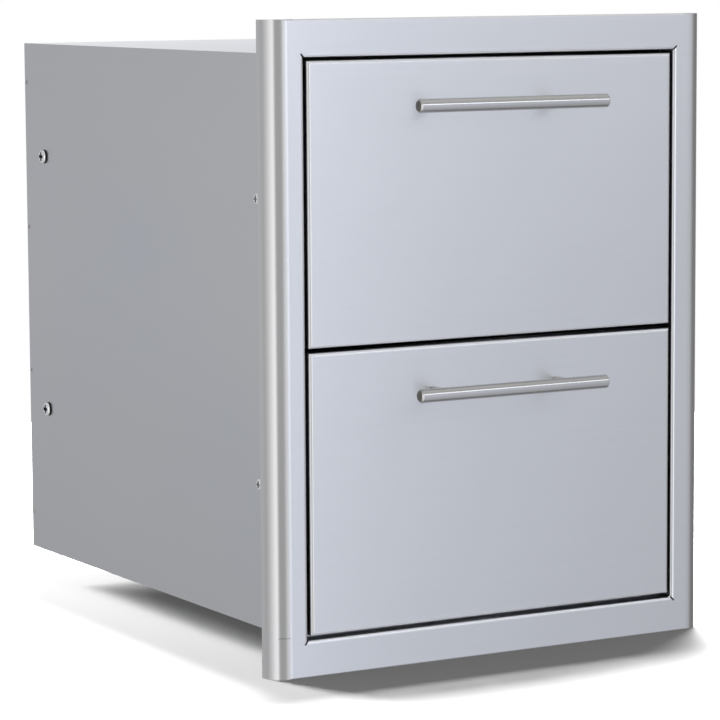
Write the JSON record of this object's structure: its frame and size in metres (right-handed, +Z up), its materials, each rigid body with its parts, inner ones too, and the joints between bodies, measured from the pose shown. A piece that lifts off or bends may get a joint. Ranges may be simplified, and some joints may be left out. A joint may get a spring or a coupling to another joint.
{
  "type": "outdoor kitchen drawer unit",
  "caption": "Built-in outdoor kitchen drawer unit: folded stainless front frame and cabinet, flush drawers with round bar handles on full-extension ball-bearing slides.",
  "frame": {"origin": "middle of the front frame's bottom edge, in the plane of its rear rim, which seats on the island's face", "axes": "+X to the right seen from the front, +Y to the back, into the island, +Z up"},
  "size_m": [0.45, 0.586, 0.565],
  "materials": {
    "front_frame_steel": "satin, brushed along each rail",
    "drawer_front_steel": "satin, brushed across",
    "cabinet_steel": "dull mill finish",
    "drawer_box_steel": "dull mill finish",
    "handle_steel": "fine satin, polished ends",
    "slide_steel": "bright zinc plate",
    "ball_cage_steel": "bright zinc plate",
    "bracket_steel": "bright zinc plate",
    "screw_steel": "bright",
    "rivet_steel": "bright"
  },
  "bodies": {
    "cabinet": {"front_frame": "front_frame_steel", "left_side_panel": "cabinet_steel", "right_side_panel": "cabinet_steel", "top_panel": "cabinet_steel", "bottom_panel": "cabinet_steel", "rear_panel": "cabinet_steel", "rear_rivets": "rivet_steel", "slide_bracket_rivets": "rivet_steel", "front_slide_brackets": "bracket_steel", "rear_slide_brackets": "bracket_steel", "front_bracket_screws": "screw_steel", "front_bracket_nuts": "screw_steel", "rear_bracket_screws": "screw_steel", "rear_bracket_nuts": "screw_steel", "upper_left_outer_member": "slide_steel", "upper_right_outer_member": "slide_steel", "lower_left_outer_member": "slide_steel", "lower_right_outer_member": "slide_steel"},
    "upper_drawer": {"upper_drawer_front": "drawer_front_steel", "upper_drawer_inner_front": "drawer_box_steel", "upper_drawer_tray": "drawer_box_steel", "upper_drawer_back": "drawer_box_steel", "upper_handle_bar": "handle_steel", "upper_handle_posts": "handle_steel", "upper_handle_screws": "screw_steel", "upper_drawer_front_screws": "screw_steel", "upper_drawer_slide_rivets": "rivet_steel", "upper_left_inner_member": "slide_steel", "upper_right_inner_member": "slide_steel"},
    "upper_left_middle_member": {"upper_left_middle_member": "slide_steel"},
    "upper_left_outer_ball_cage": {"upper_left_outer_ball_cage": "ball_cage_steel"},
    "upper_left_inner_ball_cage": {"upper_left_inner_ball_cage": "ball_cage_steel"},
    "upper_right_middle_member": {"upper_right_middle_member": "slide_steel"},
    "upper_right_outer_ball_cage": {"upper_right_outer_ball_cage": "ball_cage_steel"},
    "upper_right_inner_ball_cage": {"upper_right_inner_ball_cage": "ball_cage_steel"},
    "lower_drawer": {"lower_drawer_front": "drawer_front_steel", "lower_drawer_inner_front": "drawer_box_steel", "lower_drawer_tray": "drawer_box_steel", "lower_drawer_back": "drawer_box_steel", "lower_handle_bar": "handle_steel", "lower_handle_posts": "handle_steel", "lower_handle_screws": "screw_steel", "lower_drawer_front_screws": "screw_steel", "lower_drawer_slide_rivets": "rivet_steel", "lower_left_inner_member": "slide_steel", "lower_right_inner_member": "slide_steel"},
    "lower_left_middle_member": {"lower_left_middle_member": "slide_steel"},
    "lower_left_outer_ball_cage": {"lower_left_outer_ball_cage": "ball_cage_steel"},
    "lower_left_inner_ball_cage": {"lower_left_inner_ball_cage": "ball_cage_steel"},
    "lower_right_middle_member": {"lower_right_middle_member": "slide_steel"},
    "lower_right_outer_ball_cage": {"lower_right_outer_ball_cage": "ball_cage_steel"},
    "lower_right_inner_ball_cage": {"lower_right_inner_ball_cage": "ball_cage_steel"}
  },
  "joints": [
    {"name": "upper_drawer_slide", "type": "slide", "parent": "cabinet", "child": "upper_drawer", "axis": [0, -1, 0], "range_m": [0, 0.5]},
    {"name": "upper_left_middle_member_slide", "type": "slide", "parent": "cabinet", "child": "upper_left_middle_member", "axis": [0, -1, 0], "range_m": [0, 0.25]},
    {"name": "upper_left_outer_ball_cage_slide", "type": "slide", "parent": "cabinet", "child": "upper_left_outer_ball_cage", "axis": [0, -1, 0], "range_m": [0, 0.125]},
    {"name": "upper_left_inner_ball_cage_slide", "type": "slide", "parent": "cabinet", "child": "upper_left_inner_ball_cage", "axis": [0, -1, 0], "range_m": [0, 0.375]},
    {"name": "upper_right_middle_member_slide", "type": "slide", "parent": "cabinet", "child": "upper_right_middle_member", "axis": [0, -1, 0], "range_m": [0, 0.25]},
    {"name": "upper_right_outer_ball_cage_slide", "type": "slide", "parent": "cabinet", "child": "upper_right_outer_ball_cage", "axis": [0, -1, 0], "range_m": [0, 0.125]},
    {"name": "upper_right_inner_ball_cage_slide", "type": "slide", "parent": "cabinet", "child": "upper_right_inner_ball_cage", "axis": [0, -1, 0], "range_m": [0, 0.375]},
    {"name": "lower_drawer_slide", "type": "slide", "parent": "cabinet", "child": "lower_drawer", "axis": [0, -1, 0], "range_m": [0, 0.5]},
    {"name": "lower_left_middle_member_slide", "type": "slide", "parent": "cabinet", "child": "lower_left_middle_member", "axis": [0, -1, 0], "range_m": [0, 0.25]},
    {"name": "lower_left_outer_ball_cage_slide", "type": "slide", "parent": "cabinet", "child": "lower_left_outer_ball_cage", "axis": [0, -1, 0], "range_m": [0, 0.125]},
    {"name": "lower_left_inner_ball_cage_slide", "type": "slide", "parent": "cabinet", "child": "lower_left_inner_ball_cage", "axis": [0, -1, 0], "range_m": [0, 0.375]},
    {"name": "lower_right_middle_member_slide", "type": "slide", "parent": "cabinet", "child": "lower_right_middle_member", "axis": [0, -1, 0], "range_m": [0, 0.25]},
    {"name": "lower_right_outer_ball_cage_slide", "type": "slide", "parent": "cabinet", "child": "lower_right_outer_ball_cage", "axis": [0, -1, 0], "range_m": [0, 0.125]},
    {"name": "lower_right_inner_ball_cage_slide", "type": "slide", "parent": "cabinet", "child": "lower_right_inner_ball_cage", "axis": [0, -1, 0], "range_m": [0, 0.375]}
  ],
  "couplings": [
    {"joint": "upper_left_middle_member_slide", "follows": "upper_drawer_slide", "ratio": 0.5},
    {"joint": "upper_left_outer_ball_cage_slide", "follows": "upper_drawer_slide", "ratio": 0.25},
    {"joint": "upper_left_inner_ball_cage_slide", "follows": "upper_drawer_slide", "ratio": 0.75},
    {"joint": "upper_right_middle_member_slide", "follows": "upper_drawer_slide", "ratio": 0.5},
    {"joint": "upper_right_outer_ball_cage_slide", "follows": "upper_drawer_slide", "ratio": 0.25},
    {"joint": "upper_right_inner_ball_cage_slide", "follows": "upper_drawer_slide", "ratio": 0.75},
    {"joint": "lower_left_middle_member_slide", "follows": "lower_drawer_slide", "ratio": 0.5},
    {"joint": "lower_left_outer_ball_cage_slide", "follows": "lower_drawer_slide", "ratio": 0.25},
    {"joint": "lower_left_inner_ball_cage_slide", "follows": "lower_drawer_slide", "ratio": 0.75},
    {"joint": "lower_right_middle_member_slide", "follows": "lower_drawer_slide", "ratio": 0.5},
    {"joint": "lower_right_outer_ball_cage_slide", "follows": "lower_drawer_slide", "ratio": 0.25},
    {"joint": "lower_right_inner_ball_cage_slide", "follows": "lower_drawer_slide", "ratio": 0.75}
  ]
}
